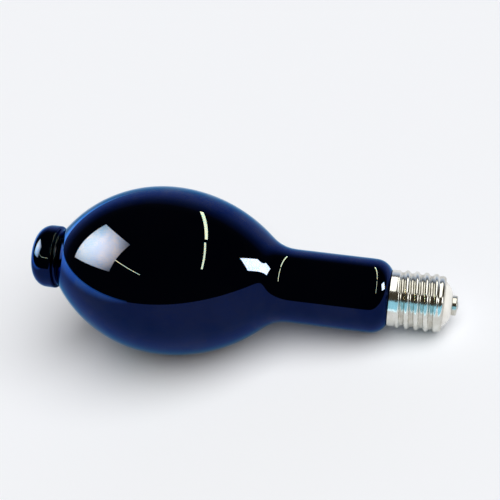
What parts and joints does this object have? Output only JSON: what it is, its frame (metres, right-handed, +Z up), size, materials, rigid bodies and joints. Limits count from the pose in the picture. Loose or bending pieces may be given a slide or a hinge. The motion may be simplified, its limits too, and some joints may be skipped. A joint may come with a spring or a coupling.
{
  "type": "ultraviolet lamp",
  "caption": "Dark glass ultraviolet discharge lamp with a bulged envelope, grooved round nose, straight neck and large metal screw cap, lying at rest.",
  "frame": {"origin": "centre of the bounding box, on the floor that the lamp lies on", "axes": "+Z up; the lamp lies along X, with the cap towards +X and low and the nose towards -X and high"},
  "size_m": [0.2888, 0.116, 0.118],
  "materials": {
    "filter_glass": "polished",
    "plated_brass": "polished",
    "white_glass": "gloss",
    "solder": "satin"
  },
  "bodies": {
    "root": {"glass_envelope": "filter_glass", "screw_shell": "plated_brass", "cap_insulator": "white_glass", "centre_contact": "plated_brass", "contact_solder": "solder", "rim_solder": "solder"}
  },
  "joints": []
}
